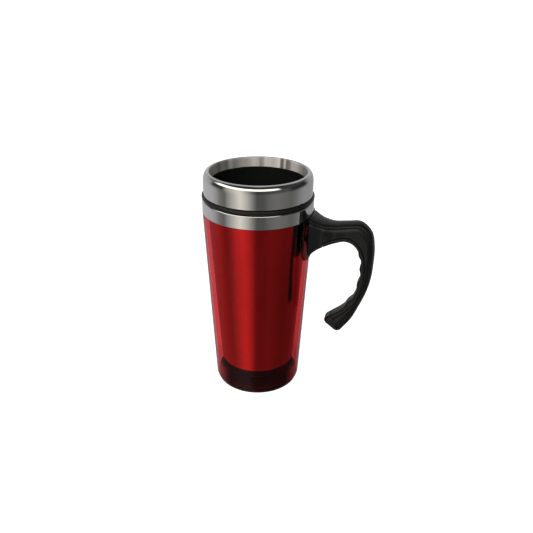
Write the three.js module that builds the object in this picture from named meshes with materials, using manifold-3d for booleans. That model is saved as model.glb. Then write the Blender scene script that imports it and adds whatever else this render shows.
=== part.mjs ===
// Insulated travel mug, open, with a hooked handle.
// Millimetres, +Z up. The origin is the centre of the underside, on the mug's axis.
// The handle points along +X.
import * as THREE from 'three';
import * as BufferGeometryUtils from 'three/addons/utils/BufferGeometryUtils.js';
import Module from 'manifold-3d';

const wasm = await Module();
wasm.setup();

// ---------------------------------------------------------------- driving dimensions
const ROUND = 48;                 // facets round the mug's axis
const CLEAR = 0.3;                // gap between pieces that seat on each other

// outer shell: a straight taper with a thin wall
const SHELL_BOTTOM_Z = 1.8;
const SHELL_TOP_Z = 148.7;
const SHELL_FOOT_R = 34.9;        // outer radius that the taper would reach at the bottom edge
const SHELL_TOP_R = 42.6;
const SHELL_WALL = 2.0;
const SHELL_CORNER = 1.1;         // how far the bottom edge turns in
const NECK_R = 40.7;              // the neck that the trim band is pressed over
const NECK_TOP_Z = 158.9;

// base
const CAP_FLANGE_R = 33.9;
const CAP_FLANGE_T = 1.5;
const CAP_PLUG_H = 6.0;
const CAP_PLUG_WALL = 3.0;
const CAP_FLOOR_T = 2.0;
const CAP_RING_R = 15.0;          // raised ring on the floor inside
const CAP_RING_H = 1.2;
const PAD_R = 23.0;
const PAD_T = 1.2;
const PAD_PROUD = 0.4;            // how far the pad stands below the cap
const BASE_SEAL_SECTION_R = 0.8;
const BASE_SEAL_Z = 4.2;
const SEAL_PLAY = 0.2;            // groove width beyond the seal on each side

// sleeve and liner
const SLEEVE_BOTTOM_Z = 19.4;
const SLEEVE_BOTTOM_R = 30.1;
const SLEEVE_TOP_Z = 148.0;
const SLEEVE_TOP_R = 38.3;
const SLEEVE_WALL = 0.5;
const LINER_FLOOR_Z = 23.0;       // the drink side of the floor
const LINER_FLOOR_T = 2.2;
const LINER_CORNER = 6.0;
const LINER_WALL = 2.0;
const LINER_MOUTH_Z = 172.0;      // where the bare liner meets the steel band of the rim
const LINER_MOUTH_R = 36.2;
const LINER_NECK_Z = 152.0;       // above this the liner's outside is straight, inside the shell's neck

// neck rings
const BAND_Z0 = 149.0;
const BAND_Z1 = 159.4;
const BAND_R = 42.6;
const BAND_WALL = 1.3;
const BAND_ROUND = 1.1;
const COLLAR_Z0 = 159.7;
const COLLAR_Z1 = 162.8;
const COLLAR_R = 42.8;
const COLLAR_INNER_R = 38.8;
const RIM_Z0 = 163.1;
const RIM_R = 41.5;
const RIM_SHOULDER_Z = 173.2;     // the straight wall ends here and the shoulder begins
const RIM_TOP_Z = 180.0;
const RIM_LIP_R = 37.6;           // middle of the flat land on top of the lip
const RIM_LAND = 0.9;
const RIM_SHEET = 0.6;

// handle
const RAIL_PROUD = 1.3;           // how far the rail stands off the shell
const RAIL_HALF = 17.4;
const RAIL_FOOT_HALF = 15.6;
const RAIL_BOTTOM_Z = 115.0;
const RAIL_CORNER = 8.0;
const ROOT_PROUD = 1.8;           // the handle's root fills the rail and stands just proud of it
const ROOT_HALF = 12.0;
const ROOT_FOOT_HALF = 8.0;
const ROOT_CORNER = 3.0;
const ROOT_BOTTOM_Z = 117.0;
const PLATE_X0 = 30.0;            // the rail and root plates start inside the shell and are cut back
const PLATE_X1 = 50.0;
const BAR_Z0 = 90.0;              // height span of the cones that trim them
const BAR_Z1 = 170.0;
const ROOT_CROWN = 2.0;           // how far the back bulges at the root
const ARM_CROWN = 3.0;
const ARM_CORNER = 1.2;
const TIP_CORNER = 3.4;
const GROOVE_AT = 4.2;            // depth of the groove below the handle's back
const GROOVE_CUT = 1.3;
const GROOVE_HALF = 1.0;          // half its width
const WEB_STEP = 0.35;            // the web below the groove is this much thinner on each side
const GRIP_T = 3.3;
const SCREW_Z = [142.0, 129.0];
const SCREW_SHANK_R = 1.45;
const SCREW_LENGTH = 9.0;
const SCREW_HEAD_R = 2.7;
const SCREW_HEAD_T = 1.6;
const SCREW_POINT = 2.0;
const SCREW_CROSS = [0.6, 3.0];   // width and length of the recess in the head

// ---------------------------------------------------------------- shared helpers

const shellOuterR = (z) =>
  THREE.MathUtils.mapLinear(z, SHELL_BOTTOM_Z, SHELL_TOP_Z, SHELL_FOOT_R, SHELL_TOP_R);

const LINER_SLOPE = (SLEEVE_TOP_R - SLEEVE_BOTTOM_R) / (SLEEVE_TOP_Z - SLEEVE_BOTTOM_Z);
const linerInnerR = (z) => LINER_MOUTH_R - LINER_SLOPE * (LINER_MOUTH_Z - z);

// Points on an arc in the (radius, height) plane; angles in degrees, 0 points outward.
function arc(r, z, radius, from, to, steps = 4) {
  const points = [];
  for (let i = 0; i <= steps; i += 1) {
    const a = THREE.MathUtils.degToRad(from + (to - from) * i / steps);
    points.push([r + radius * Math.cos(a), z + radius * Math.sin(a)]);
  }
  return points;
}

function signedArea(profile) {
  let area = 0;
  profile.forEach(([r0, z0], i) => {
    const [r1, z1] = profile[(i + 1) % profile.length];
    area += (r0 * z1 - r1 * z0) / 2;
  });
  return area;
}

// A closed (radius, height) profile turned about the mug's axis.
function turned(profile, segments = ROUND) {
  const ordered = signedArea(profile) > 0 ? [...profile] : [...profile].reverse();
  const onAxis = ordered.findIndex(([r], i) => r === 0
    && ordered[(i - 1 + ordered.length) % ordered.length][0] === 0);
  const start = Math.max(onAxis, 0);
  const loop = [...ordered.slice(start), ...ordered.slice(0, start)];
  if (onAxis < 0) loop.push(loop[0]);
  const geometry = new THREE.LatheGeometry(loop.map(([r, z]) => new THREE.Vector2(r, z)), segments);
  geometry.rotateX(Math.PI / 2);
  return geometry;
}

function toSolid(geometry) {
  const bare = geometry.clone();
  bare.deleteAttribute('normal');
  bare.deleteAttribute('uv');
  const merged = BufferGeometryUtils.mergeVertices(bare, 1e-4);
  const index = merged.index.array;
  const kept = [];
  for (let i = 0; i < index.length; i += 3) {
    const [a, b, c] = [index[i], index[i + 1], index[i + 2]];
    if (a !== b && b !== c && c !== a) kept.push(a, b, c);
  }
  return new wasm.Manifold(new wasm.Mesh({
    numProp: 3,
    vertProperties: new Float32Array(merged.attributes.position.array),
    triVerts: new Uint32Array(kept),
  }));
}

function toGeometry(solid) {
  const mesh = solid.getMesh();
  const geometry = new THREE.BufferGeometry();
  geometry.setAttribute('position', new THREE.BufferAttribute(mesh.vertProperties, 3));
  geometry.setIndex(new THREE.BufferAttribute(mesh.triVerts, 1));
  geometry.computeVertexNormals();
  return geometry;
}

// An upright plate between two x positions: wide at the top, narrower at the foot, corners rounded.
function uprightPlate({ half, footHalf, corner, bottomZ, topZ, x0, x1 }) {
  const shape = new THREE.Shape();
  shape.moveTo(half, topZ);
  shape.lineTo(-half, topZ);
  shape.lineTo(-footHalf, bottomZ + corner);
  shape.quadraticCurveTo(-footHalf, bottomZ, -footHalf + corner, bottomZ);
  shape.lineTo(footHalf - corner, bottomZ);
  shape.quadraticCurveTo(footHalf, bottomZ, footHalf, bottomZ + corner);
  shape.closePath();
  const plate = new THREE.ExtrudeGeometry(shape, {
    depth: x1 - x0, bevelEnabled: false, curveSegments: 8,
  });
  plate.rotateX(Math.PI / 2);       // the shape's up becomes +Z, the extrusion runs along -Y
  plate.rotateZ(Math.PI / 2);       // the extrusion runs along +X
  plate.translate(x0, 0, 0);
  return plate;
}

// A solid cone on the mug's axis, parallel to the shell's wall and standing proud of it.
const wallCone = (proud, topZ = BAR_Z1) => toSolid(turned([
  [0, BAR_Z0],
  [shellOuterR(BAR_Z0) + proud, BAR_Z0],
  [shellOuterR(topZ) + proud, topZ],
  [0, topZ],
]));

// ---------------------------------------------------------------- shell and base

function shellSolid() {
  const wallTop = SHELL_TOP_Z;
  const neckBore = NECK_R - SHELL_WALL;
  const footR = SHELL_FOOT_R - SHELL_CORNER;
  const outer = [
    [footR, SHELL_BOTTOM_Z],
    [SHELL_FOOT_R - 0.35 * SHELL_CORNER, SHELL_BOTTOM_Z + 0.7 * SHELL_CORNER],
    [shellOuterR(SHELL_BOTTOM_Z + 2.2 * SHELL_CORNER), SHELL_BOTTOM_Z + 2.2 * SHELL_CORNER],
    [SHELL_TOP_R, wallTop],
    [NECK_R, wallTop],
    [NECK_R, NECK_TOP_Z],
  ];
  const inner = [
    [neckBore, NECK_TOP_Z],
    [neckBore, wallTop + 2],
    [shellOuterR(wallTop - 4) - SHELL_WALL, wallTop - 4],
    [shellOuterR(SHELL_BOTTOM_Z) - SHELL_WALL, SHELL_BOTTOM_Z],
  ];
  const body = toSolid(turned([...outer, ...inner]));
  const rail = toSolid(uprightPlate({
    half: RAIL_HALF,
    footHalf: RAIL_FOOT_HALF,
    corner: RAIL_CORNER,
    bottomZ: RAIL_BOTTOM_Z,
    topZ: wallTop,
    x0: PLATE_X0,
    x1: PLATE_X1,
  }))
    .intersect(wallCone(RAIL_PROUD))
    .subtract(wallCone(-SHELL_WALL / 2));
  const mouth = toSolid(uprightPlate({
    half: ROOT_HALF + CLEAR,
    footHalf: ROOT_FOOT_HALF + CLEAR,
    corner: ROOT_CORNER + CLEAR,
    bottomZ: ROOT_BOTTOM_Z - CLEAR,
    topZ: wallTop + 2,
    x0: PLATE_X0,
    x1: PLATE_X1,
  }))
    .subtract(wallCone(0));
  let shell = body.add(rail).subtract(mouth);
  SCREW_Z.forEach((z) => {
    shell = shell.subtract(toSolid(screwShank(SCREW_SHANK_R + 0.2, 20, z)));
  });
  return shell;
}

// The cap's plug fits inside the shell's foot.
const plugRadius = () => shellOuterR(SHELL_BOTTOM_Z) - SHELL_WALL - CLEAR;

function baseCap() {
  const plugR = plugRadius();
  const seat = PAD_T - PAD_PROUD;
  const grooveR = plugR - 2 * BASE_SEAL_SECTION_R;
  const grooveHalf = BASE_SEAL_SECTION_R + SEAL_PLAY;
  const floorZ = PAD_PROUD + seat + CAP_FLOOR_T;
  const innerR = plugR - CAP_PLUG_WALL;
  return turned([
    [0, PAD_PROUD + seat],
    [PAD_R + CLEAR, PAD_PROUD + seat],
    [PAD_R + CLEAR, PAD_PROUD],
    [CAP_FLANGE_R - 0.6, PAD_PROUD],
    [CAP_FLANGE_R, PAD_PROUD + 0.5],
    [CAP_FLANGE_R, CAP_FLANGE_T],
    [plugR, CAP_FLANGE_T],
    [plugR, BASE_SEAL_Z - grooveHalf],
    [grooveR, BASE_SEAL_Z - grooveHalf],
    [grooveR, BASE_SEAL_Z + grooveHalf],
    [plugR, BASE_SEAL_Z + grooveHalf],
    [plugR, CAP_PLUG_H],
    [innerR, CAP_PLUG_H],
    [innerR, floorZ],
    [CAP_RING_R + CAP_RING_H, floorZ],
    [CAP_RING_R + 0.75 * CAP_RING_H, floorZ + CAP_RING_H],
    [CAP_RING_R - 0.75 * CAP_RING_H, floorZ + CAP_RING_H],
    [CAP_RING_R - CAP_RING_H, floorZ],
    [0, floorZ],
  ]);
}

function baseSeal() {
  const ringR = plugRadius() - BASE_SEAL_SECTION_R + 0.1;
  const ring = new THREE.TorusGeometry(ringR, BASE_SEAL_SECTION_R, 8, ROUND);
  ring.translate(0, 0, BASE_SEAL_Z);
  return ring;
}

function footPad() {
  return turned([
    [0, 0],
    [PAD_R - 0.3, 0],
    [PAD_R, 0.3],
    [PAD_R, PAD_T - 0.1],
    [0, PAD_T - 0.1],
  ]);
}

// ---------------------------------------------------------------- sleeve and liner

function steelSleeve() {
  return turned([
    [SLEEVE_BOTTOM_R, SLEEVE_BOTTOM_Z],
    [SLEEVE_TOP_R, SLEEVE_TOP_Z],
    [SLEEVE_TOP_R - SLEEVE_WALL, SLEEVE_TOP_Z],
    [SLEEVE_BOTTOM_R - SLEEVE_WALL, SLEEVE_BOTTOM_Z],
  ]);
}

function innerLiner() {
  const floorZ = LINER_FLOOR_Z;
  const under = floorZ - LINER_FLOOR_T;
  const cornerZ = floorZ + LINER_CORNER;
  const insideCorner = arc(linerInnerR(cornerZ) - LINER_CORNER, cornerZ, LINER_CORNER, 0, -90, 3);
  const outsideCorner = arc(linerInnerR(cornerZ) - LINER_CORNER, under + LINER_CORNER + LINER_WALL,
    LINER_CORNER + LINER_WALL, -90, 0, 3);
  const flangeZ0 = COLLAR_Z1 + CLEAR;
  const flangeZ1 = flangeZ0 + 2.0;
  const flangeR = RIM_R - RIM_SHEET - CLEAR;
  const neckR = COLLAR_INNER_R - CLEAR - 0.2;
  const skirtR = LINER_MOUTH_R + RIM_SHEET + CLEAR;
  const topZ = RIM_TOP_Z - RIM_SHEET - 2.2;
  return turned([
    [0, under],
    ...outsideCorner,
    [linerInnerR(SLEEVE_TOP_Z - 2) + LINER_WALL, SLEEVE_TOP_Z - 2],
    [neckR, LINER_NECK_Z],
    [neckR, flangeZ0],
    [flangeR, flangeZ0],
    [flangeR, flangeZ1],
    [skirtR + LINER_WALL, flangeZ1 + 0.6],
    [RIM_LIP_R + 1.9, topZ],
    [RIM_LIP_R - 0.1, topZ],
    [skirtR + 0.2, LINER_MOUTH_Z],
    [LINER_MOUTH_R, LINER_MOUTH_Z],
    ...insideCorner,
    [0, floorZ],
  ]);
}

// ---------------------------------------------------------------- neck rings

function trimBand() {
  return turned([
    [BAND_R, BAND_Z0],
    ...arc(BAND_R - BAND_ROUND, BAND_Z1 - BAND_ROUND, BAND_ROUND, 0, 90),
    [BAND_R - BAND_WALL, BAND_Z1],
    [BAND_R - BAND_WALL, BAND_Z0],
  ]);
}

function collarRing() {
  return turned([
    [COLLAR_INNER_R, COLLAR_Z0],
    [COLLAR_R - 0.5, COLLAR_Z0],
    ...arc(COLLAR_R - 0.8, (COLLAR_Z0 + COLLAR_Z1) / 2, 0.8, -80, 80),
    [COLLAR_R - 0.5, COLLAR_Z1],
    [COLLAR_INNER_R, COLLAR_Z1],
  ]);
}

function linerSeal() {
  const outerR = NECK_R - 0.1;
  const innerR = NECK_R - SHELL_WALL + 0.1;
  return turned([
    [innerR, NECK_TOP_Z + 0.1],
    [outerR, NECK_TOP_Z + 0.1],
    [outerR, COLLAR_Z0 - 0.1],
    [innerR, COLLAR_Z0 - 0.1],
  ]);
}

// The rim is one bent sheet: outer wall, round shoulder, lip and a short band down into the mouth.
function upperRim() {
  const landOuter = RIM_LIP_R + RIM_LAND / 2;
  const landInner = RIM_LIP_R - RIM_LAND / 2;
  const shoulder = (inset) => {
    const points = [];
    for (let i = 0; i <= 6; i += 1) {
      const a = Math.PI / 2 * i / 6;
      points.push([
        landOuter + (RIM_R - landOuter - inset) * Math.cos(a),
        RIM_SHOULDER_Z + (RIM_TOP_Z - RIM_SHOULDER_Z - inset) * Math.sin(a),
      ]);
    }
    return points;
  };
  return turned([
    [RIM_R, RIM_Z0],
    ...shoulder(0),
    [landInner, RIM_TOP_Z],
    [landInner - 0.6, RIM_TOP_Z - 0.9],
    [LINER_MOUTH_R, LINER_MOUTH_Z + 0.2],
    [LINER_MOUTH_R + RIM_SHEET, LINER_MOUTH_Z + 0.2],
    [landInner - 0.6 + RIM_SHEET, RIM_TOP_Z - 0.9 - RIM_SHEET / 2],
    ...shoulder(RIM_SHEET).reverse(),
    [RIM_R - RIM_SHEET, RIM_Z0],
  ]);
}

// ---------------------------------------------------------------- handle

// Each row is one cut through the handle: a point on its back, the matching point on its palm
// side, and half its width there. Rows run from the root, over the arm and down to the hooked tip.
const HANDLE_CUTS = [
  { back: [42.4, 149.9], palm: [41.3, 117.4], half: 11.8 },
  { back: [51.5, 146.2], palm: [51.7, 125.4], half: 9.4 },
  { back: [60.0, 145.3], palm: [60.2, 129.4], half: 7.2 },
  { back: [69.5, 146.5], palm: [68.2, 131.5], half: 6.4 },
  { back: [79.3, 147.0], palm: [74.0, 129.8], half: 6.2 },
  { back: [87.6, 140.0], palm: [78.8, 124.4], half: 6.2 },
  { back: [90.6, 128.5], palm: [81.2, 117.8], half: 6.2 },
  { back: [90.9, 115.2], palm: [81.8, 109.9], half: 6.2 },
  { back: [90.1, 102.1], palm: [81.4, 100.2], half: 6.2 },
  { back: [87.5, 90.0], palm: [79.5, 90.9], half: 6.3 },
  { back: [83.1, 77.8], palm: [75.7, 81.4], half: 6.5 },
  { back: [77.6, 65.2], palm: [68.5, 73.0], half: 6.8 },
  { back: [70.6, 55.0], palm: [57.4, 64.4], half: 7.2 },
];
const GRIP_START = 1.05;          // in cuts from the root
const GRIP_END = 11.72;
const FINGER_RIDGES = [5.45, 6.88, 8.31, 10.2];
const FINGER_REACH = 0.6;         // half the length of one ridge, in cuts
const FINGER_BUMP = 1.2;

const cutCurve = (pick) => new THREE.CatmullRomCurve3(HANDLE_CUTS.map(pick), false, 'centripetal');
const backCurve = cutCurve(({ back }) => new THREE.Vector3(back[0], 0, back[1]));
const palmCurve = cutCurve(({ palm }) => new THREE.Vector3(palm[0], 0, palm[1]));

function cutAt(s) {
  const last = HANDLE_CUTS.length - 1;
  const t = THREE.MathUtils.clamp(s / last, 0, 1);
  const i = Math.min(Math.floor(s), last - 1);
  const half = THREE.MathUtils.lerp(HANDLE_CUTS[i].half, HANDLE_CUTS[i + 1].half,
    THREE.MathUtils.smoothstep(s - i, 0, 1));
  return { back: backCurve.getPoint(t), palm: palmCurve.getPoint(t), half };
}

// Turns a loop of (depth from the back, sideways) points into a ring at one cut.
function placeRing(cut, loop, { shrink = 1, push = 0, along = null } = {}) {
  const inward = cut.palm.clone().sub(cut.back);
  const depth = inward.length();
  inward.normalize();
  const middle = depth / 2;
  return loop.map(([d, y]) => {
    const point = cut.back.clone().addScaledVector(inward, middle + (d - middle) * shrink);
    point.y = y * shrink;
    if (along) point.addScaledVector(along, push);
    return point;
  });
}

// Skins a list of equal rings and closes both ends with a fan.
function skin(rings) {
  const count = rings[0].length;
  const points = rings.flat();
  const centre = (ring) => ring.reduce((sum, p) => sum.add(p), new THREE.Vector3()).divideScalar(count);
  points.push(centre(rings[0]), centre(rings[rings.length - 1]));
  const [startHub, endHub] = [points.length - 2, points.length - 1];
  const index = [];
  for (let k = 0; k < rings.length - 1; k += 1) {
    for (let i = 0; i < count; i += 1) {
      const a = k * count + i;
      const b = k * count + (i + 1) % count;
      index.push(a, b + count, b, a, a + count, b + count);
    }
  }
  const lastRing = (rings.length - 1) * count;
  for (let i = 0; i < count; i += 1) {
    const j = (i + 1) % count;
    index.push(startHub, i, j, endHub, lastRing + j, lastRing + i);
  }
  const geometry = new THREE.BufferGeometry();
  geometry.setAttribute('position', new THREE.BufferAttribute(
    new Float32Array(points.flatMap((p) => [p.x, p.y, p.z])), 3));
  geometry.setIndex(index);
  geometry.computeVertexNormals();
  return geometry;
}

const mirrored = (side) => [...side, ...side.slice(1, -1).reverse().map(([d, y]) => [d, -y])];

// The handle's section: a crowned back, a groove under it, then a slightly narrower web.
function bodySection(depth, half, { corner, crown, draft }) {
  const web = half - WEB_STEP;
  const groove = Math.min(GROOVE_AT, depth - GROOVE_HALF - 0.4);
  const round = Math.min(corner, web - draft - 0.1, depth - groove - GROOVE_HALF);
  const side = [[0, 0]];
  for (let i = 1; i <= 4; i += 1) {
    const a = Math.PI / 2 * i / 4;
    side.push([crown * (1 - Math.cos(a)), half * Math.sin(a)]);
  }
  side.push([groove - GROOVE_HALF, half], [groove, half - GROOVE_CUT], [groove + GROOVE_HALF, web]);
  for (let i = 0; i <= 4; i += 1) {
    const a = Math.PI / 2 * i / 4;
    side.push([depth - round + round * Math.sin(a), web - draft - round + round * Math.cos(a)]);
  }
  side.push([depth, 0]);
  return mirrored(side);
}

// How the section changes from the wide root to the slim arm.
function formAt(s) {
  const { lerp, smoothstep } = THREE.MathUtils;
  const last = HANDLE_CUTS.length - 1;
  const armCorner = lerp(ROOT_CORNER, ARM_CORNER, smoothstep(s, 0, 1.6));
  return {
    corner: lerp(armCorner, TIP_CORNER, smoothstep(s, last - 1.2, last)),
    crown: lerp(ROOT_CROWN, ARM_CROWN, smoothstep(s, 0, 1.5)),
    draft: lerp(ROOT_HALF - ROOT_FOOT_HALF, 0, smoothstep(s, 0, 2)),
  };
}

function gripSection(depth, half, draft, bump) {
  const face = half - 0.2 - draft;
  const top = depth - GRIP_T + CLEAR;
  return mirrored([
    [top, 0],
    [top, face - 0.6],
    [top + 0.6, face],
    [depth - 1.4, face],
    [depth - 0.4 + bump * 0.5, face - 1.0],
    [depth + bump, face - 2.6],
    [depth + bump, 0],
  ]);
}

function handleSolid() {
  const last = HANDLE_CUTS.length - 1;
  const stops = [];
  for (let s = 0; s <= last + 1e-6; s += 0.25) stops.push(s);
  stops.push(GRIP_START - 0.06, GRIP_START + 0.06, GRIP_END - 0.04, GRIP_END + 0.04);
  stops.sort((a, b) => a - b);
  const depthOf = (cut) => cut.back.distanceTo(cut.palm);
  const rings = stops.map((s) => {
    const cut = cutAt(s);
    const recess = s > GRIP_START && s < GRIP_END ? GRIP_T : 0;
    return placeRing(cut, bodySection(depthOf(cut) - recess, cut.half, formAt(s)));
  });
  const tip = cutAt(last);
  const before = cutAt(last - 0.05);
  const along = tip.back.clone().add(tip.palm).sub(before.back).sub(before.palm).normalize();
  [[1.2, 0.98], [2.6, 0.9], [3.5, 0.77], [3.9, 0.6]].forEach(([push, shrink]) => {
    rings.push(placeRing(tip, bodySection(depthOf(tip), tip.half, formAt(last)), { shrink, push, along }));
  });
  const arm = toSolid(skin(rings));
  const root = toSolid(uprightPlate({
    half: ROOT_HALF,
    footHalf: ROOT_FOOT_HALF,
    corner: ROOT_CORNER,
    bottomZ: ROOT_BOTTOM_Z,
    topZ: SHELL_TOP_Z - CLEAR,
    x0: PLATE_X0,
    x1: PLATE_X1,
  }))
    .intersect(wallCone(ROOT_PROUD));
  const mugBody = toSolid(turned([
    [0, BAR_Z0],
    [shellOuterR(BAR_Z0) + CLEAR, BAR_Z0],
    [SHELL_TOP_R + CLEAR, SHELL_TOP_Z],
    [BAND_R + CLEAR, BAND_Z0 - CLEAR],
    [BAND_R + CLEAR, BAR_Z1],
    [0, BAR_Z1],
  ]));
  let handle = arm.add(root).subtract(mugBody);
  SCREW_Z.forEach((z) => {
    handle = handle.subtract(toSolid(screwShank(SCREW_SHANK_R + 0.1, 14, z)));
  });
  return handle;
}

// Height of the finger ridges on the palm side; zero between them.
function fingerRidge(s) {
  const nearest = Math.min(...FINGER_RIDGES.map((ridge) => Math.abs(s - ridge)));
  return FINGER_BUMP * (1 - THREE.MathUtils.smoothstep(nearest, 0, FINGER_REACH));
}

function handleGrip() {
  const inset = 0.1;
  const rings = [];
  const steps = 64;
  for (let k = 0; k <= steps; k += 1) {
    const s = THREE.MathUtils.lerp(GRIP_START + inset, GRIP_END - inset, k / steps);
    const cut = cutAt(s);
    const depth = cut.back.distanceTo(cut.palm);
    rings.push(placeRing(cut, gripSection(depth, cut.half, formAt(s).draft, fingerRidge(s))));
  }
  return skin(rings);
}

// A round bar along +X that starts inside the shell's wall.
function screwShank(radius, length, z) {
  const x0 = shellOuterR(z) - SHELL_WALL - 0.6;
  const bar = new THREE.CylinderGeometry(radius, radius, length, 16);
  bar.rotateZ(-Math.PI / 2);
  bar.translate(x0 + length / 2, 0, z);
  return bar;
}

// Pan-head self-tapping screw, head on the inside of the shell, with a cross recess.
function screw(z) {
  const seatX = shellOuterR(z) - SHELL_WALL - 0.35;
  const head = new THREE.CylinderGeometry(SCREW_HEAD_R, SCREW_HEAD_R * 0.8, SCREW_HEAD_T, 24);
  head.rotateZ(-Math.PI / 2);
  head.translate(seatX - SCREW_HEAD_T / 2, 0, z);
  const straight = SCREW_LENGTH - SCREW_POINT;
  const shankX0 = seatX - SCREW_HEAD_T / 2;
  const shank = new THREE.CylinderGeometry(SCREW_SHANK_R, SCREW_SHANK_R, straight, 16);
  shank.rotateZ(-Math.PI / 2);
  shank.translate(shankX0 + straight / 2, 0, z);
  const point = new THREE.ConeGeometry(SCREW_SHANK_R, SCREW_POINT, 16);
  point.rotateZ(-Math.PI / 2);
  point.translate(shankX0 + straight + SCREW_POINT / 2, 0, z);
  let solid = toSolid(head).add(toSolid(shank)).add(toSolid(point));
  const [narrow, long] = SCREW_CROSS;
  [[narrow, long], [long, narrow]].forEach(([dy, dz]) => {
    const slot = new THREE.BoxGeometry(SCREW_HEAD_T, dy, dz);
    slot.translate(seatX - SCREW_HEAD_T, 0, z);
    solid = solid.subtract(toSolid(slot));
  });
  return toGeometry(solid);
}

// ---------------------------------------------------------------- scene graph

const finish = {
  redPlastic: { color: 0xa01018, roughness: 0.12, metalness: 0 },
  blackPlastic: { color: 0x141414, roughness: 0.45, metalness: 0 },
  linerPlastic: { color: 0x0c0c0c, roughness: 0.5, metalness: 0 },
  softGrip: { color: 0x1a1a1a, roughness: 0.75, metalness: 0 },
  polishedSteel: { color: 0xb9b6b0, roughness: 0.15, metalness: 1 },
  brightSleeve: { color: 0xc6c4c0, roughness: 0.3, metalness: 1 },
  rubber: { color: 0x222222, roughness: 0.85, metalness: 0 },
  zincScrew: { color: 0x9a9a96, roughness: 0.4, metalness: 1 },
};

const mug = new THREE.Group();

function addPiece(name, geometry, look, parent = mug) {
  const mesh = new THREE.Mesh(geometry, new THREE.MeshStandardMaterial(finish[look]));
  mesh.name = name;
  parent.add(mesh);
}

addPiece('outer_shell', toGeometry(shellSolid()), 'redPlastic');
addPiece('base_cap', baseCap(), 'blackPlastic');
addPiece('base_seal', baseSeal(), 'rubber');
addPiece('foot_pad', footPad(), 'rubber');
addPiece('steel_sleeve', steelSleeve(), 'brightSleeve');
addPiece('inner_liner', innerLiner(), 'linerPlastic');
addPiece('liner_seal', linerSeal(), 'rubber');
addPiece('collar_ring', collarRing(), 'blackPlastic');
addPiece('trim_band', trimBand(), 'polishedSteel');
addPiece('upper_rim', upperRim(), 'polishedSteel');

const handle = new THREE.Group();
mug.add(handle);
addPiece('handle_body', toGeometry(handleSolid()), 'blackPlastic', handle);
addPiece('handle_grip', handleGrip(), 'softGrip', handle);
addPiece('handle_screw_upper', screw(SCREW_Z[0]), 'zincScrew', handle);
addPiece('handle_screw_lower', screw(SCREW_Z[1]), 'zincScrew', handle);

export default mug;
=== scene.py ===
import math

import bpy
import numpy as np
from mathutils import Matrix, Vector


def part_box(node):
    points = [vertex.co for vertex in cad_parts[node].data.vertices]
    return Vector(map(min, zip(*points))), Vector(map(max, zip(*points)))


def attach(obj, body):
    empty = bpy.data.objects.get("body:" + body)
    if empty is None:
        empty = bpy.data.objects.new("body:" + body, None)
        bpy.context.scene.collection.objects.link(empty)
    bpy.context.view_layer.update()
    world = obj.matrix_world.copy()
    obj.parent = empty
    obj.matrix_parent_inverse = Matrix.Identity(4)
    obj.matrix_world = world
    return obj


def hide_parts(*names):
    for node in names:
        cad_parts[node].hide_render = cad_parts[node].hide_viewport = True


# Open insulated travel mug: a clear red shell over a steel sleeve, steel rim bands, a hooked handle.
# Metres, +Z up, the mug's axis is Z and the handle points along +X. Profiles are written in mm.

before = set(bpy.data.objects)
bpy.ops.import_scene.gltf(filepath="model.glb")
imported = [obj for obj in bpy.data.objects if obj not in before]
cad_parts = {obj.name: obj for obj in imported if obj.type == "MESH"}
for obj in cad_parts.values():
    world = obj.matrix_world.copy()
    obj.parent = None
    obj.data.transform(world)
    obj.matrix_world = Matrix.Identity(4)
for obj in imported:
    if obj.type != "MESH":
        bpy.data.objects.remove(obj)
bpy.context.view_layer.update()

MM = 0.001
MICRON = 0.000001
CLEAR = 0.3                      # gap between pieces that seat on each other
VIEW_AZIMUTH = math.radians(14)  # the camera stands this far round from -Y towards +X


# ---------------------------------------------------------------- sizes taken from the frame

def span(node):
    """(lowest z, highest z, outer radius) of a turned CAD node, in mm."""
    low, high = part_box(node)
    return low.z / MM, high.z / MM, high.y / MM


RIM_Z0, RIM_Z1, RIM_R = span("upper_rim")
COLLAR_Z0, COLLAR_Z1, COLLAR_R = span("collar_ring")
BAND_Z0, BAND_Z1, BAND_R = span("trim_band")
SHELL_Z0, NECK_Z1, SHELL_TOP_R = span("outer_shell")
CAP_Z0, CAP_Z1, CAP_R = span("base_cap")
PAD_Z0, PAD_Z1, PAD_R = span("foot_pad")
SLEEVE_Z0, SLEEVE_Z1, SLEEVE_R1 = span("steel_sleeve")
LINER_Z0, LINER_Z1, LINER_R = span("inner_liner")

# the thin walls and edges that a box can't tell
SHELL_TOP_Z = BAND_Z0 - CLEAR
SHELL_FOOT_R = 34.9
SHELL_WALL = 2.0
SHELL_CORNER = 1.1
NECK_R = 40.7
NECK_BORE = NECK_R - SHELL_WALL
SLEEVE_R0 = 30.1
SLEEVE_WALL = 0.5
LINER_WALL = 2.0
LIP_R = 37.6                     # middle of the lip's flat land
LIP_LAND = 0.9
SHOULDER_H = 6.8
SHEET = 0.6                      # thickness of the rim's steel sheet
MOUTH_Z = 172.0                  # where the steel in the mouth ends and the liner begins
MOUTH_R = 36.2
FLOOR_Z = 23.0                   # the liner's floor, inside
FLOOR_CORNER = 6.0

# upright plates on the wall, seen from +X: half width at the top and at the foot, corners, lowest z
RAIL = {"half": 17.4, "foot": 15.6, "corner": 8.0, "bottom": 115.0}
ROOT = {"half": 12.0, "foot": 8.0, "corner": 3.0, "bottom": 117.0}
RAIL_PROUD = 1.3                 # how far each stands out from the wall
ROOT_PROUD = 1.8


def lerp(a, b, t):
    return a + (b - a) * t


def smoothstep(x, low, high):
    t = np.clip((x - low) / (high - low), 0.0, 1.0)
    return t * t * (3 - 2 * t)


def shell_r(z):
    """Outer radius of the shell's taper at height z."""
    return lerp(SHELL_FOOT_R, SHELL_TOP_R, (z - SHELL_Z0) / (SHELL_TOP_Z - SHELL_Z0))


# ---------------------------------------------------------------- mesh helpers

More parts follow.
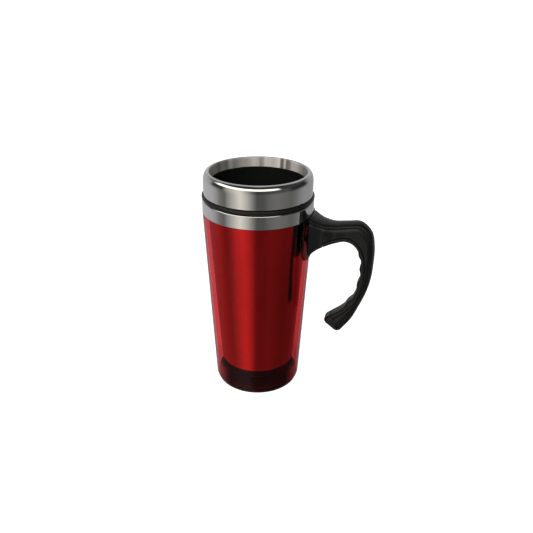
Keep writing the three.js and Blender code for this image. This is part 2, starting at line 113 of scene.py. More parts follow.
def make_piece(name, points, faces, material, node, sharp=38):
    """A smooth-shaded mesh piece from points in mm, riding on the root body in place of a CAD node."""
    mesh = bpy.data.meshes.new(name)
    mesh.from_pydata([tuple(c * MM for c in p) for p in points], [], faces)
    mesh.validate()
    mesh.shade_smooth()
    mesh.set_sharp_from_angle(angle=math.radians(sharp))
    mesh.materials.append(material)
    piece = bpy.data.objects.new(name, mesh)
    bpy.context.scene.collection.objects.link(piece)
    weighted = piece.modifiers.new("weighted", "WEIGHTED_NORMAL")
    weighted.keep_sharp = True
    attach(piece, "root")
    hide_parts(node)
    return piece


def rounded(outline, steps=5):
    """Rounds the corners of a closed (radius, z, corner radius) outline with arcs."""
    points = []
    for i, (r, z, corner) in enumerate(outline):
        here = Vector((r, z))
        back = Vector(outline[i - 1][:2]) - here
        ahead = Vector(outline[(i + 1) % len(outline)][:2]) - here
        if corner == 0 or back.length < 1e-6 or ahead.length < 1e-6:
            points.append((r, z))
            continue
        half = back.angle(ahead) / 2
        reach = min(corner / math.tan(half), 0.49 * min(back.length, ahead.length))
        start = here + back.normalized() * reach
        end = here + ahead.normalized() * reach
        for k in range(steps + 1):
            t = k / steps
            points.append(tuple(start * (1 - t) ** 2 + here * 2 * t * (1 - t) + end * t ** 2))
    return points


def arc(r, z, across, up, start, end, steps):
    """Points on an elliptical arc in the (radius, z) plane; angles in degrees."""
    angles = [math.radians(lerp(start, end, k / steps)) for k in range(steps + 1)]
    return [(r + across * math.cos(a), z + up * math.sin(a), 0) for a in angles]


def turned(name, outline, material, node, segments=192):
    """A closed outline turned about the mug's axis. Points with radius 0 become poles."""
    profile = rounded(outline)
    area = sum(a[0] * b[1] - b[0] * a[1] for a, b in zip(profile, profile[1:] + profile[:1]))
    if area < 0:
        profile.reverse()
    points, rows = [], []
    for r, z in profile:
        if r < 1e-6:
            rows.append([len(points)] * segments)
            points.append((0, 0, z))
            continue
        rows.append(list(range(len(points), len(points) + segments)))
        for k in range(segments):
            a = math.tau * k / segments
            points.append((r * math.cos(a), r * math.sin(a), z))
    faces = []
    for low, high in zip(rows, rows[1:] + rows[:1]):
        if low[0] == low[1] and high[0] == high[1]:
            continue
        for k in range(segments):
            j = (k + 1) % segments
            corners = [low[k], low[j], high[j], high[k]]
            faces.append([c for i, c in enumerate(corners) if c not in corners[:i]])
    return make_piece(name, points, faces, material, node)


# ---------------------------------------------------------------- material helpers

class Nodes:
    """A thin helper for building one node tree."""

    def __init__(self, tree):
        self.tree = tree
        tree.nodes.clear()

    def add(self, kind, inputs=None, **settings):
        node = self.tree.nodes.new(kind)
        for key, value in settings.items():
            setattr(node, key, value)
        for key, value in (inputs or {}).items():
            self.put(node.inputs[key], value)
        return node

    def put(self, socket, value):
        if isinstance(value, bpy.types.NodeSocket):
            self.tree.links.new(value, socket)
        else:
            socket.default_value = value

    def maths(self, operation, a, b=0.0, c=0.0, clamp=False):
        inputs = {0: a, 1: b, 2: c}
        return self.add("ShaderNodeMath", inputs, operation=operation, use_clamp=clamp).outputs[0]

    def vectors(self, operation, a, b=(0, 0, 0)):
        return self.add("ShaderNodeVectorMath", {0: a, 1: b}, operation=operation).outputs

    def between(self, value, low, high, to_low=0.0, to_high=1.0, smooth=False):
        kind = "SMOOTHSTEP" if smooth else "LINEAR"
        inputs = {"Value": value, "From Min": low, "From Max": high, "To Min": to_low, "To Max": to_high}
        return self.add("ShaderNodeMapRange", inputs, interpolation_type=kind).outputs["Result"]

    def place(self):
        """The object's own coordinates."""
        return self.add("ShaderNodeTexCoord").outputs["Object"]

    def axes(self, vector):
        return self.add("ShaderNodeSeparateXYZ", {0: vector}).outputs

    def axes_from_camera(self, vector):
        """A vector's axes with the camera's side turned round to -Y."""
        inputs = {"Vector": vector, "Angle": -VIEW_AZIMUTH}
        return self.axes(self.add("ShaderNodeVectorRotate", inputs, rotation_type="Z_AXIS").outputs[0])

    def light_path(self, output):
        return self.add("ShaderNodeLightPath").outputs[output]

    def attribute(self, name):
        return self.add("ShaderNodeAttribute", attribute_name=name).outputs["Fac"]

    def noise(self, scale, detail, stretch=(1, 1, 1)):
        """Noise over the object's own coordinates; stretch scales each axis."""
        moved = self.add("ShaderNodeMapping", {"Vector": self.place(), "Scale": stretch})
        inputs = {"Vector": moved.outputs["Vector"], "Scale": scale, "Detail": detail, "Roughness": 0.55}
        return self.add("ShaderNodeTexNoise", inputs).outputs["Fac"]

    def blend(self, factor, a, b):
        node = self.add("ShaderNodeMix", data_type="RGBA")
        for index, value in ((0, factor), (6, a), (7, b)):
            self.put(node.inputs[index], value)
        return node.outputs[2]

    def mix(self, factor, a, b):
        return self.add("ShaderNodeMixShader", {0: factor, 1: a, 2: b}).outputs[0]

    def bump(self, height, depth):
        inputs = {"Height": height, "Distance": depth, "Strength": 1.0}
        return self.add("ShaderNodeBump", inputs).outputs["Normal"]

    def round_ramp(self, azimuth, stops, colour):
        """Colours round the axis, from (degrees, value) stops that run from -180 to 180."""
        around = self.between(azimuth, -math.pi, math.pi)
        ramp = self.add("ShaderNodeValToRGB", {"Fac": around})
        marks = ramp.color_ramp.elements
        for degrees, value in stops:
            ends = {-180: marks[0], 180: marks[len(marks) - 1]}
            mark = ends.get(degrees) or marks.new((degrees + 180) / 360)
            mark.color = colour(degrees, value)
        return ramp.outputs["Color"]

    def turned_away(self):
        """0 where an upright wall faces the eye, 1 at its outline, whatever the eye's height."""
        point = self.add("ShaderNodeNewGeometry").outputs
        level = []
        for name in ("Normal", "Incoming"):
            flat = self.vectors("MULTIPLY", point[name], (1, 1, 0))["Vector"]
            level.append(self.vectors("NORMALIZE", flat)["Vector"])
        facing = self.maths("ABSOLUTE", self.vectors("DOT_PRODUCT", *level)["Value"])
        return self.maths("SUBTRACT", 1.0, facing)

    def finish(self, shader):
        self.add("ShaderNodeOutputMaterial", {"Surface": shader})


def material(name):
    made = bpy.data.materials.new(name)
    made.use_nodes = True
    return made, Nodes(made.node_tree)


def grey(value):
    return (value, value, value, 1)


# ---------------------------------------------------------------- materials

# Painted reflections in the mouth's steel: how bright the upright streaks of reflected studio are, by
# degrees round the axis: 0 is the side away from the camera, positive to its right.
MOUTH_PAINTED_REFLECTIONS = [(-180, 0.4), (-90, 0.4), (-64, 0.5), (-58, 0.3), (-52, 0.5), (-44, 0.35), (-38, 0.8),
                 (-32, 0.5), (-24, 0.7), (-12, 0.75), (-1, 1.0), (1, 0.5), (5, 0.55), (8, 1.0), (27, 1.0),
                 (28.5, 0.2), (32, 0.25), (33, 0.9), (35, 0.8), (36.5, 0.25), (42, 0.35), (46, 0.85),
                 (60, 0.7), (72, 0.35), (90, 0.4), (180, 0.4)]


# what the red wall lets through, from face on to its outline, and a painted red glow at its outline
# below the sleeve, standing in for light shining through the clear base from behind
RED_FACING = (0.975, 0.33, 0.325, 1)
RED_ASIDE = (0.80, 0.4, 0.42, 1)
RED_EDGE = (0.45, 0.12, 0.13, 1)
RED_STREAK = (0.9, 0.3, 0.3, 1)
RED_RAIL = (0.12, 0.03, 0.03, 1)
RED_BACKLIT_GLOW = (0.55, 0.03, 0.04, 1)
GLOW_FADE = 3.0                 # below the sleeve's edge the painted glow grows over this height, in mm


def steel(name, tone, rough, turned_marks=0.0, brushed=0.0, streaks=0.0, painted_reflections=None, metal=1.0):
    """Stainless sheet: fine turning marks round the axis, upright streaks and faint handling smudges.

    painted_reflections are stops for a painted reflection, its brightness round the axis as the camera
    sees it, written as in MOUTH_PAINTED_REFLECTIONS.
    """
    made, n = material(name)
    marks = n.noise(60, 3, (1, 1, 60))
    smudge = n.noise(90, 5)
    upright = n.noise(110, 3, (1, 1, 0.03))
    shade = n.maths("MULTIPLY", n.between(smudge, 0.3, 0.7, 0.94, 1.0),
                    n.between(upright, 0.35, 0.6, 1 - streaks, 1.0))
    # painted reflection: brightness painted into the colour by azimuth from the camera, standing in for
    # the studio seen in the brushed steel
    if painted_reflections:
        axes = n.axes_from_camera(n.place())
        azimuth = n.maths("ARCTAN2", axes["X"], axes["Y"])
        shade = n.maths("MULTIPLY", shade, n.round_ramp(azimuth, painted_reflections, lambda _, value: grey(value)))
    base = n.blend(shade, grey(0), tone)
    roughness = n.maths("ADD", n.between(smudge, 0.35, 0.75, rough, rough * 1.5),
                        n.between(marks, 0.3, 0.7, 0, rough * 0.4))
    along = n.add("ShaderNodeTangent", direction_type="RADIAL", axis="Z").outputs["Tangent"]
    shader = n.add("ShaderNodeBsdfPrincipled", {
        "Base Color": base,
        "Metallic": metal,
        "Roughness": roughness,
        "Anisotropic": brushed,
        "Anisotropic Rotation": 0.25,
        "Tangent": along,
        "Normal": n.bump(marks, turned_marks),
    })
    n.finish(shader.outputs["BSDF"])
    return made


def clear_red():
    """Tinted clear plastic that shows what is behind it, under a glossy coat that grows at the edges."""
    made, n = material("clear_red")
    aside = n.turned_away()
    edge_on = n.maths("MULTIPLY", n.attribute("outer"), n.between(aside, 0.67, 0.75))
    streaks = n.between(n.noise(45, 4, (1, 1, 0.25)), 0.4, 0.8, 0.0, 0.12)
    tint = n.blend(n.between(aside, 0.22, 0.69), RED_FACING, RED_ASIDE)
    tint = n.blend(edge_on, tint, RED_EDGE)
    tint = n.blend(streaks, tint, RED_STREAK)
    tint = n.blend(n.attribute("rail"), tint, RED_RAIL)
    clear = n.add("ShaderNodeBsdfTransparent", {"Color": tint}).outputs["BSDF"]

    # painted light: a red diffuse layer at the outline below the sleeve stands in for light shining
    # through the clear base from behind
    below_sleeve = n.between(n.axes(n.place())["Z"], SLEEVE_Z0 * MM, (SLEEVE_Z0 - GLOW_FADE) * MM)
    glow_mask = n.maths("MULTIPLY", n.between(aside, 0.33, 0.72, 0, 0.2), below_sleeve)
    glow_layer = n.add("ShaderNodeBsdfDiffuse", {"Color": RED_BACKLIT_GLOW}).outputs["BSDF"]
    wall = n.mix(glow_mask, clear, glow_layer)

    # only the camera sees the coat, and only from outside: its glints on other pieces are just noise
    ripple = n.bump(n.noise(70, 2), 20 * MICRON)
    haze = n.between(n.noise(240, 4), 0.35, 0.75, 0.03, 0.07)
    gloss = n.add("ShaderNodeBsdfGlossy", {"Roughness": haze, "Normal": ripple}).outputs["BSDF"]
    backfacing = n.add("ShaderNodeNewGeometry").outputs["Backfacing"]
    outside = n.maths("GREATER_THAN", n.light_path("Is Camera Ray"), backfacing)
    facing = n.add("ShaderNodeLayerWeight", {"Blend": 0.5}).outputs["Facing"]
    fresnel = n.maths("MULTIPLY_ADD", n.maths("POWER", facing, 5.6), 0.7, 0.02)
    n.finish(n.mix(n.maths("MULTIPLY", fresnel, outside, clamp=True), wall, gloss))
    return made


def moulded(name, tone, rough, grain, scale=900):
    """Moulded plastic or rubber: a fine even grain, a little mottling and worn shine on edges."""
    made, n = material(name)
    fine = n.noise(scale, 3)
    mottle = n.between(n.noise(35, 3), 0.35, 0.7)
    base = n.blend(mottle, grey(tone * 0.85), grey(tone * 1.2))
    edge = n.add("ShaderNodeNewGeometry").outputs["Pointiness"]
    worn = n.between(edge, 0.5, 0.6, 0.0, 0.12)
    roughness = n.maths("SUBTRACT", n.between(fine, 0.3, 0.7, rough * 0.92, rough * 1.1), worn)
    shader = n.add("ShaderNodeBsdfPrincipled", {
        "Base Color": base,
        "Roughness": roughness,
        "Specular IOR Level": 0.32,
        "Normal": n.bump(fine, grain),
    })
    n.finish(shader.outputs["BSDF"])
    return made


RIM_STEEL = steel("rim_steel", (0.66, 0.65, 0.635, 1), rough=0.045, turned_marks=0.5 * MICRON)
# the mouth's colour carries painted reflections of the studio, by azimuth from the camera
MOUTH_STEEL = steel("mouth_steel", (1.0, 0.97, 0.93, 1), rough=0.60, brushed=0.9, streaks=0.2,
                    painted_reflections=MOUTH_PAINTED_REFLECTIONS, metal=0.5)
SLEEVE_STEEL = steel("sleeve_steel", (0.80, 0.78, 0.77, 1), rough=0.10, brushed=0.5, streaks=0.14)
SCREW_ZINC = steel("screw_zinc", (0.55, 0.55, 0.56, 1), rough=0.3, turned_marks=2 * MICRON)
CLEAR_RED = clear_red()
BLACK = moulded("black_plastic", 0.004, rough=0.36, grain=6 * MICRON)
COLLAR_BLACK = moulded("collar_plastic", 0.004, rough=0.38, grain=8 * MICRON)
CAP_BLACK = moulded("cap_plastic", 0.012, rough=0.5, grain=10 * MICRON)
LINER_BLACK = moulded("liner_plastic", 0.006, rough=0.30, grain=6 * MICRON)
GRIP_BLACK = moulded("grip_rubber", 0.005, rough=0.45, grain=10 * MICRON, scale=700)
RUBBER = moulded("seal_rubber", 0.02, rough=0.65, grain=20 * MICRON)


# ---------------------------------------------------------------- turned pieces

def upper_rim():
    """One bent sheet: a straight wall, a round shoulder, the lip, then down into the mouth."""
    outer = LIP_R + LIP_LAND / 2
    inner = LIP_R - LIP_LAND / 2
    lean, drop = 0.6, 0.9           # how far the sheet turns in and down behind the lip
    hem = MOUTH_Z + 0.2
    shoulder_z = RIM_Z1 - SHOULDER_H
    over = arc(outer, shoulder_z, RIM_R - outer, SHOULDER_H, 0, 90, 20)
    under = arc(outer, shoulder_z, RIM_R - outer - SHEET, SHOULDER_H - SHEET, 90, 0, 20)
    outline = [
        (RIM_R, RIM_Z0, 0.25),
        *over,
        (inner, RIM_Z1, 0.5),
        (inner - lean, RIM_Z1 - drop, 0.5),
        (MOUTH_R, hem, 0.15),
        (MOUTH_R + SHEET, hem, 0.15),
        (inner - lean + SHEET, RIM_Z1 - drop - SHEET / 2, 0.2),
        *under,
        (RIM_R - SHEET, RIM_Z0, 0.25),
    ]
    piece = turned("rim", outline, RIM_STEEL, "upper_rim")
    piece.data.materials.append(MOUTH_STEEL)
    for face in piece.data.polygons:
        out = face.center.to_2d()
        if out.length / MM < inner - lean / 2 and face.normal.to_2d().dot(out) < 0:
            face.material_index = 1
    return piece


def collar():
    """The black bead between the rim and the band."""
    bore, bulge = 38.8, 0.9
    wall_r = COLLAR_R - bulge
    bead = (COLLAR_Z1 - COLLAR_Z0) / 2
    outline = [
        (bore, COLLAR_Z0, 0.2),
        (wall_r, COLLAR_Z0, 0.1),
        *arc(wall_r, COLLAR_Z0 + bead, bulge, bead - 0.1, -86, 86, 14),
        (wall_r, COLLAR_Z1, 0.1),
        (bore, COLLAR_Z1, 0.2),
    ]
    return turned("collar", outline, COLLAR_BLACK, "collar_ring")


def trim_band():
    """Steel band with a rolled top edge, pressed over the shell's neck."""
    wall, roll = 1.3, 1.1
    outline = [
        (BAND_R, BAND_Z0, 0.25),
        *arc(BAND_R - roll, BAND_Z1 - roll, roll, roll, 0, 90, 10),
        (BAND_R - wall, BAND_Z1, 0.1),
        (BAND_R - wall, BAND_Z0, 0.2),
    ]
    return turned("band", outline, RIM_STEEL, "trim_band")


def sleeve():
    """Thin brushed sleeve seen through the shell."""
    outline = [
        (SLEEVE_R0, SLEEVE_Z0, 0.15),
        (SLEEVE_R1, SLEEVE_Z1, 0.15),
        (SLEEVE_R1 - SLEEVE_WALL, SLEEVE_Z1, 0.15),
        (SLEEVE_R0 - SLEEVE_WALL, SLEEVE_Z0, 0.15),
    ]
    return turned("sleeve", outline, SLEEVE_STEEL, "steel_sleeve")


def liner():
    """The black cup inside, with its flange under the rim."""
    slope = (SLEEVE_R1 - SLEEVE_R0) / (SLEEVE_Z1 - SLEEVE_Z0)
    flare_z = SLEEVE_Z1 - 2
    neck_r, neck_z = 38.3, 152
    flange_z = COLLAR_Z1 + CLEAR
    behind_sheet = MOUTH_R + SHEET + CLEAR

    def inside(z):
        return MOUTH_R - slope * (MOUTH_Z - z)

    outline = [
        (0, LINER_Z0, 0),
        (inside(LINER_Z0) + LINER_WALL * 0.8, LINER_Z0, FLOOR_CORNER + LINER_WALL),
        (inside(flare_z) + LINER_WALL, flare_z, 1),
        (neck_r, neck_z, 1),
        (neck_r, flange_z, 0),
        (LINER_R, flange_z, 0.3),
        (LINER_R, flange_z + 2, 0.3),
        (behind_sheet + LINER_WALL, flange_z + 2.6, 0.3),
        (LIP_R + 1.9, LINER_Z1, 0.3),
        (LIP_R - 0.1, LINER_Z1, 0.3),
        (behind_sheet + 0.2, MOUTH_Z, 0),
        (MOUTH_R, MOUTH_Z, 0.3),
        (inside(FLOOR_Z), FLOOR_Z, FLOOR_CORNER),
        (0, FLOOR_Z, 0),
    ]
    return turned("liner", outline, LINER_BLACK, "inner_liner")


def base():
    """The black cap that plugs the shell's foot, the foot pad let into it, and the two seals."""
    plug = SHELL_FOOT_R - SHELL_WALL - CLEAR
    plug_wall, brim_z = 3, 1.5
    pad_top = PAD_Z1 + 0.1
    floor_z = pad_top + 2.0
    rib_r, rib_h = 15.0, 1.2        # a round rib on the cap's floor
    seal_z, seal_r, seal_sides = 4.2, 0.8, 16
    groove_z0, groove_z1 = seal_z - seal_r - 0.2, seal_z + seal_r + 0.2
    groove_r = plug - 2 * seal_r
    outline = [
        (0, pad_top, 0),
        (PAD_R + CLEAR, pad_top, 0.1),
        (PAD_R + CLEAR, CAP_Z0, 0.2),
        (CAP_R, CAP_Z0, 0.5),
        (CAP_R, brim_z, 0.1),
        (plug, brim_z, 0.1),
        (plug, groove_z0, 0.1),
        (groove_r, groove_z0, 0.1),
        (groove_r, groove_z1, 0.1),
        (plug, groove_z1, 0.1),
        (plug, CAP_Z1, 0.4),
        (plug - plug_wall, CAP_Z1, 0.4),
        (plug - plug_wall, floor_z, 0.6),
        (rib_r + rib_h, floor_z, 0.3),
        (rib_r + 0.75 * rib_h, floor_z + rib_h, 0.3),
        (rib_r - 0.75 * rib_h, floor_z + rib_h, 0.3),
        (rib_r - rib_h, floor_z, 0.3),
        (0, floor_z, 0),
    ]
    turned("cap", outline, CAP_BLACK, "base_cap")
    last = 360 - 360 / seal_sides
    ring = arc(plug - seal_r + 0.1, seal_z, seal_r, seal_r, 0, last, seal_sides - 1)
    turned("cap_seal", ring, RUBBER, "base_seal")
    tread = [(0, PAD_Z0, 0), (PAD_R, PAD_Z0, 0.3), (PAD_R, PAD_Z1, 0.1), (0, PAD_Z1, 0)]
    turned("pad", tread, RUBBER, "foot_pad")
    gasket = [
        (NECK_BORE + 0.1, NECK_Z1 + 0.1, 0.1),
        (NECK_R - 0.1, NECK_Z1 + 0.1, 0.1),
        (NECK_R - 0.1, COLLAR_Z0 - 0.1, 0.1),
        (NECK_BORE + 0.1, COLLAR_Z0 - 0.1, 0.1),
    ]
    turned("neck_seal", gasket, RUBBER, "liner_seal")


# ---------------------------------------------------------------- shell with its raised rail

def plate_distance(y, z, plate, grow=0.0):
    """Signed distance to an upright plate's outline: open at the top, rounded at the bottom corners."""
    rise = np.clip((z - plate["bottom"]) / (SHELL_TOP_Z - plate["bottom"]), 0, 1)
    half = lerp(plate["foot"], plate["half"], rise) + grow
    corner = plate["corner"] + grow
    across = np.abs(y) - half + corner
    down = plate["bottom"] - grow + corner - z
    outside = np.hypot(np.maximum(across, 0), np.maximum(down, 0))
    return outside + np.minimum(np.maximum(across, down), 0) - corner


def shell():
    """The red shell. A rail with an open mouth for the handle's root stands up from its wall."""
    corner = SHELL_CORNER
    foot = [
        (SHELL_FOOT_R - corner, SHELL_Z0),
        (SHELL_FOOT_R - 0.6 * corner, SHELL_Z0 + 0.2 * corner),
        (SHELL_FOOT_R - 0.28 * corner, SHELL_Z0 + 0.8 * corner),
        (shell_r(SHELL_Z0 + 1.6 * corner) - 0.05, SHELL_Z0 + 1.6 * corner),
    ]
    rail_z = np.arange(RAIL["bottom"] - 2, SHELL_TOP_Z - 0.2, 0.4)
    taper = [(shell_r(z), z) for z in (5, 15, 35, 60, 85, 105, *rail_z)] + [(SHELL_TOP_R, SHELL_TOP_Z)]
    neck = [(NECK_R, SHELL_TOP_Z), (NECK_R, NECK_Z1)]
    inner = [
        (NECK_BORE, NECK_Z1),
        (NECK_BORE, SHELL_TOP_Z + 2),
        *[(shell_r(z) - SHELL_WALL, z) for z in (SHELL_TOP_Z - 4, 105, 60, 15, SHELL_Z0)],
    ]
    outer = foot + taper + neck
    rail_side = 26                  # degrees each way from +X, with finer steps for the rail
    near = np.radians(np.arange(-rail_side, rail_side + 0.01, 0.5))
    far = np.radians(np.linspace(rail_side, 360 - rail_side, 155)[1:-1])
    angles = np.concatenate([near, far])
    count = len(angles)
    handle_side = np.cos(angles) > 0
    points, rows, in_rail, outside = [], [], [], []
    for i, (r, z) in enumerate(outer + inner):
        y = r * np.sin(angles)
        rail = plate_distance(y, z, RAIL)
        mouth = plate_distance(y, z, ROOT, CLEAR)
        above_foot = len(foot) <= i < len(outer)
        on_taper = len(foot) <= i < len(foot) + len(taper)
        raised = smoothstep(-np.maximum(rail, -mouth), -0.3, 0.3) * handle_side * on_taper
        radius = r + RAIL_PROUD * raised
        in_rail.extend(smoothstep(-rail, -1.2, 0) * handle_side * above_foot)
        outside.extend([float(i < len(outer))] * count)
        rows.append(range(len(points), len(points) + count))
        points.extend(zip(radius * np.cos(angles), radius * np.sin(angles), np.full(count, z)))
    faces = []
    for low, high in zip(rows, rows[1:] + rows[:1]):
        for k in range(count):
            j = (k + 1) % count
            faces.append([low[k], low[j], high[j], high[k]])
    piece = make_piece("shell", points, faces, CLEAR_RED, "outer_shell")
    for name, values in (("rail", in_rail), ("outer", outside)):
        mark = piece.data.attributes.new(name, "FLOAT", "POINT")
        mark.data.foreach_set("value", np.array(values, np.float32))
    return piece


# ---------------------------------------------------------------- handle

# Cuts through the handle from the root to the hooked tip, in the plane y = 0: a point on its back,
# the matching point on its palm side, and half its width there.
HANDLE_CUTS = [
    ((42.4, 149.9), (41.3, 117.4), 11.8),
    ((51.5, 146.2), (51.7, 125.4), 9.4),
    ((60.0, 145.3), (60.2, 129.4), 7.2),
    ((69.5, 146.5), (68.2, 131.5), 6.4),
    ((79.3, 147.0), (74.0, 129.8), 6.2),
    ((87.6, 140.0), (78.8, 124.4), 6.2),
    ((90.6, 128.5), (81.2, 117.8), 6.2),
    ((90.9, 115.2), (81.8, 109.9), 6.2),
    ((90.1, 102.1), (81.4, 100.2), 6.2),
    ((87.5, 90.0), (79.5, 90.9), 6.3),
    ((83.1, 77.8), (75.7, 81.4), 6.5),
    ((77.6, 65.2), (68.5, 73.0), 6.8),
    ((70.6, 55.0), (57.4, 64.4), 7.2),
]
LAST_CUT = len(HANDLE_CUTS) - 1
CROWN = (2.0, 3.0)              # bulge of the back, at the root and on the arm
CORNER = (3.0, 1.2)             # corners of the palm side, at the root and on the arm
TIP_CORNER = 3.4
TIP_START = LAST_CUT - 1.2      # from here the corners grow towards the tip's
TIP_ROUND = 0.42                # how much the tip shrinks as it closes
TIP_REACH = 3.2                 # how far its end is from the last cut
GROOVE_AT = 4.2                 # the groove's depth from the back, its cut and half its width
GROOVE_CUT = 1.3
GROOVE_HALF = 1.0
WEB_STEP = 0.35                 # the web below the groove is this much narrower on each side
GRIP_T = 3.3                    # thickness of the grip, and depth of its recess

# places along the handle, counted in cuts
GRIP_START = 1.05
GRIP_END = 11.72
FINGER_RIDGES = (5.45, 6.88, 8.31, 10.2)
FINGER_REACH = 0.6
FINGER_BUMP = 1.2               # mm


def along_curve(points, s):
    """Centripetal Catmull-Rom curve through points; s counts points."""
    i = min(int(s), len(points) - 2)
    w = s - i
    p = [np.array(q, float) for q in points]
    p1, p2 = p[i], p[i + 1]
    p0 = p[i - 1] if i > 0 else 2 * p1 - p2
    p3 = p[i + 2] if i + 2 < len(p) else 2 * p2 - p1
    d0, d1, d2 = (max(np.linalg.norm(b - a), 1e-9) ** 0.5 for a, b in ((p0, p1), (p1, p2), (p2, p3)))
    t1 = ((p1 - p0) / d0 - (p2 - p0) / (d0 + d1) + (p2 - p1) / d1) * d1
    t2 = ((p2 - p1) / d1 - (p3 - p1) / (d1 + d2) + (p3 - p2) / d2) * d1
    return p1 + t1 * w + (3 * (p2 - p1) - 2 * t1 - t2) * w ** 2 + (2 * (p1 - p2) + t1 + t2) * w ** 3


def cut_at(s):
    """(point on the back, point on the palm side, half width) of the cut at s."""
    i = min(int(s), LAST_CUT - 1)
    half = lerp(HANDLE_CUTS[i][2], HANDLE_CUTS[i + 1][2], float(smoothstep(s - i, 0, 1)))
    back = along_curve([c[0] for c in HANDLE_CUTS], s)
    palm = along_curve([c[1] for c in HANDLE_CUTS], s)
    return back, palm, half


def place_ring(cut, loop, shrink=1.0, push=0.0, heading=(0.0, 0.0)):
    """Turns (depth from the back, sideways) pairs into a ring of points at one cut."""
    back, palm, _ = cut
    depth = np.linalg.norm(palm - back)
    inward = (palm - back) / depth
    ring = []
    for d, y in loop:
        x, z = back + inward * (depth / 2 + (d - depth / 2) * shrink) + np.array(heading) * push
        ring.append((x, y * shrink, z))
    return ring


def mirrored(side):
    """The whole loop from its half at y >= 0, which starts and ends at y = 0."""
    return side + [(d, -y) for d, y in reversed(side[1:-1])]


def quarter(steps):
    """Angles from 0 to 90 degrees."""
    return [math.pi / 2 * k / steps for k in range(steps + 1)]


def draft_at(s):
    """How much narrower the palm side is than the back, on each side."""
    return lerp(ROOT["half"] - ROOT["foot"], 0, float(smoothstep(s, 0, 2)))


def near_tip(s):
    return float(smoothstep(s, TIP_START, LAST_CUT))


def body_section(depth, half, s, notch=1.0):
    """Crowned back, a groove below it with a lit lower lip, then the web down to the palm side.

    notch is 0 where the groove has run out, as on the tip.
    """
    on_arm = float(smoothstep(s, 0, 1.6))
    crown = lerp(*CROWN, on_arm)
    draft = draft_at(s)
    web = half - WEB_STEP
    groove = min(GROOVE_AT, depth - GROOVE_HALF - 0.5)
    low = groove + GROOVE_HALF
    corner = lerp(lerp(*CORNER, on_arm), TIP_CORNER, near_tip(s))
    corner = min(corner, web - draft - 0.1, depth - low)
    lip = min(low + 2.6, depth - corner)
    cut = GROOVE_CUT * notch
    side = [(crown * (1 - math.cos(a)), half * math.sin(a)) for a in quarter(9)]
    side += [
        (lerp(crown, groove - GROOVE_HALF, 0.6), half),
        (groove - 0.95 * GROOVE_HALF, half - 0.06 * cut),
        (groove - 0.7 * GROOVE_HALF, half - 0.35 * cut),
        (groove - 0.35 * GROOVE_HALF, half - 0.85 * cut),
        (groove, half - cut),
        (groove + 0.4 * GROOVE_HALF, half - 0.95 * cut),
        (low, half - 0.7 * cut),
        (lerp(low, lip, 0.4), half - max(0.35 * cut, WEB_STEP)),
        (lerp(low, lip, 0.8), web + 0.05),
        (lip, web + 0.05),
    ]
    end = depth - corner
    for t in (0.35, 0.7):
        side.append((lerp(lip, end, t), web - draft * t))
    flat = web - draft - corner
    side += [(end + corner * math.sin(a), flat + corner * math.cos(a)) for a in quarter(6)]
    side += [(depth, flat * 0.5), (depth, 0)]
    return mirrored(side)


def skin(name, rings, material, node):
    """Joins equal rings into a closed tube with fanned ends."""
    count = len(rings[0])
    points = [p for ring in rings for p in ring]
    faces = []
    for k in range(len(rings) - 1):
        a, b = k * count, (k + 1) * count
        for i in range(count):
            j = (i + 1) % count
            faces.append((a + i, a + j, b + j, b + i))
    for ring, flip in ((rings[0], False), (rings[-1], True)):
        hub = len(points)
        points.append(tuple(np.mean(ring, axis=0)))
        start = (len(rings) - 1) * count if flip else 0
        for i in range(count):
            j = (i + 1) % count
            faces.append((hub, start + i, start + j) if flip else (hub, start + j, start + i))
    return make_piece(name, points, faces, material, node, sharp=50)


def depth_of(cut):
    return float(np.linalg.norm(cut[1] - cut[0]))


def root_ring(proud):
    """The root's outline wrapped round the mug's wall, standing proud of it."""
    cut = cut_at(0)
    flat = place_ring(cut, body_section(depth_of(cut), ROOT["half"], 0))
    ring = []
    for _, y, z in flat:
        reach = min(shell_r(z), SHELL_TOP_R) + proud
        ring.append((math.sqrt(reach ** 2 - y ** 2), y, z))
    return ring


def handle_body():
    """The handle from its root to the closed tip, with a recess for the grip in its palm side."""
    rings = [root_ring(CLEAR), root_ring(ROOT_PROUD * 0.5), root_ring(ROOT_PROUD)]
    stops = list(np.arange(0.3, LAST_CUT + 0.001, 0.1))
    # a close pair of cuts makes each end of the recess a sharp step
    stops += [GRIP_START - 0.03, GRIP_START + 0.03, GRIP_END - 0.02, GRIP_END + 0.02]
    for s in sorted(stops):
        cut = cut_at(s)
        recess = GRIP_T if GRIP_START < s < GRIP_END else 0
        rings.append(place_ring(cut, body_section(depth_of(cut) - recess, cut[2], s)))
    tip = cut_at(LAST_CUT)
    before = cut_at(LAST_CUT - 0.05)
    heading = (tip[0] + tip[1]) - (before[0] + before[1])
    heading /= np.linalg.norm(heading)
    whole = body_section(depth_of(tip), tip[2], LAST_CUT)
    plain = body_section(depth_of(tip), tip[2], LAST_CUT, notch=0.0)
    # past the last cut the groove runs out in a small step, then the tip closes
    rings.append(place_ring(tip, whole, 1.0, 0.1, heading))
    rings.append(place_ring(tip, plain, 0.965, 0.3, heading))
    rings.append(place_ring(tip, plain, 0.965, 0.5, heading))
    for a in quarter(8):
        shrink = 1 - TIP_ROUND * (1 - math.cos(a))
        rings.append(place_ring(tip, plain, shrink, 0.7 + TIP_REACH * math.sin(a), heading))
    return skin("handle", rings, BLACK, "handle_body")


def finger_ridge(s):
    """How far the grip swells at s."""
    nearest = min(abs(s - ridge) for ridge in FINGER_RIDGES)
    return FINGER_BUMP * (1 - float(smoothstep(nearest, 0, FINGER_REACH)))


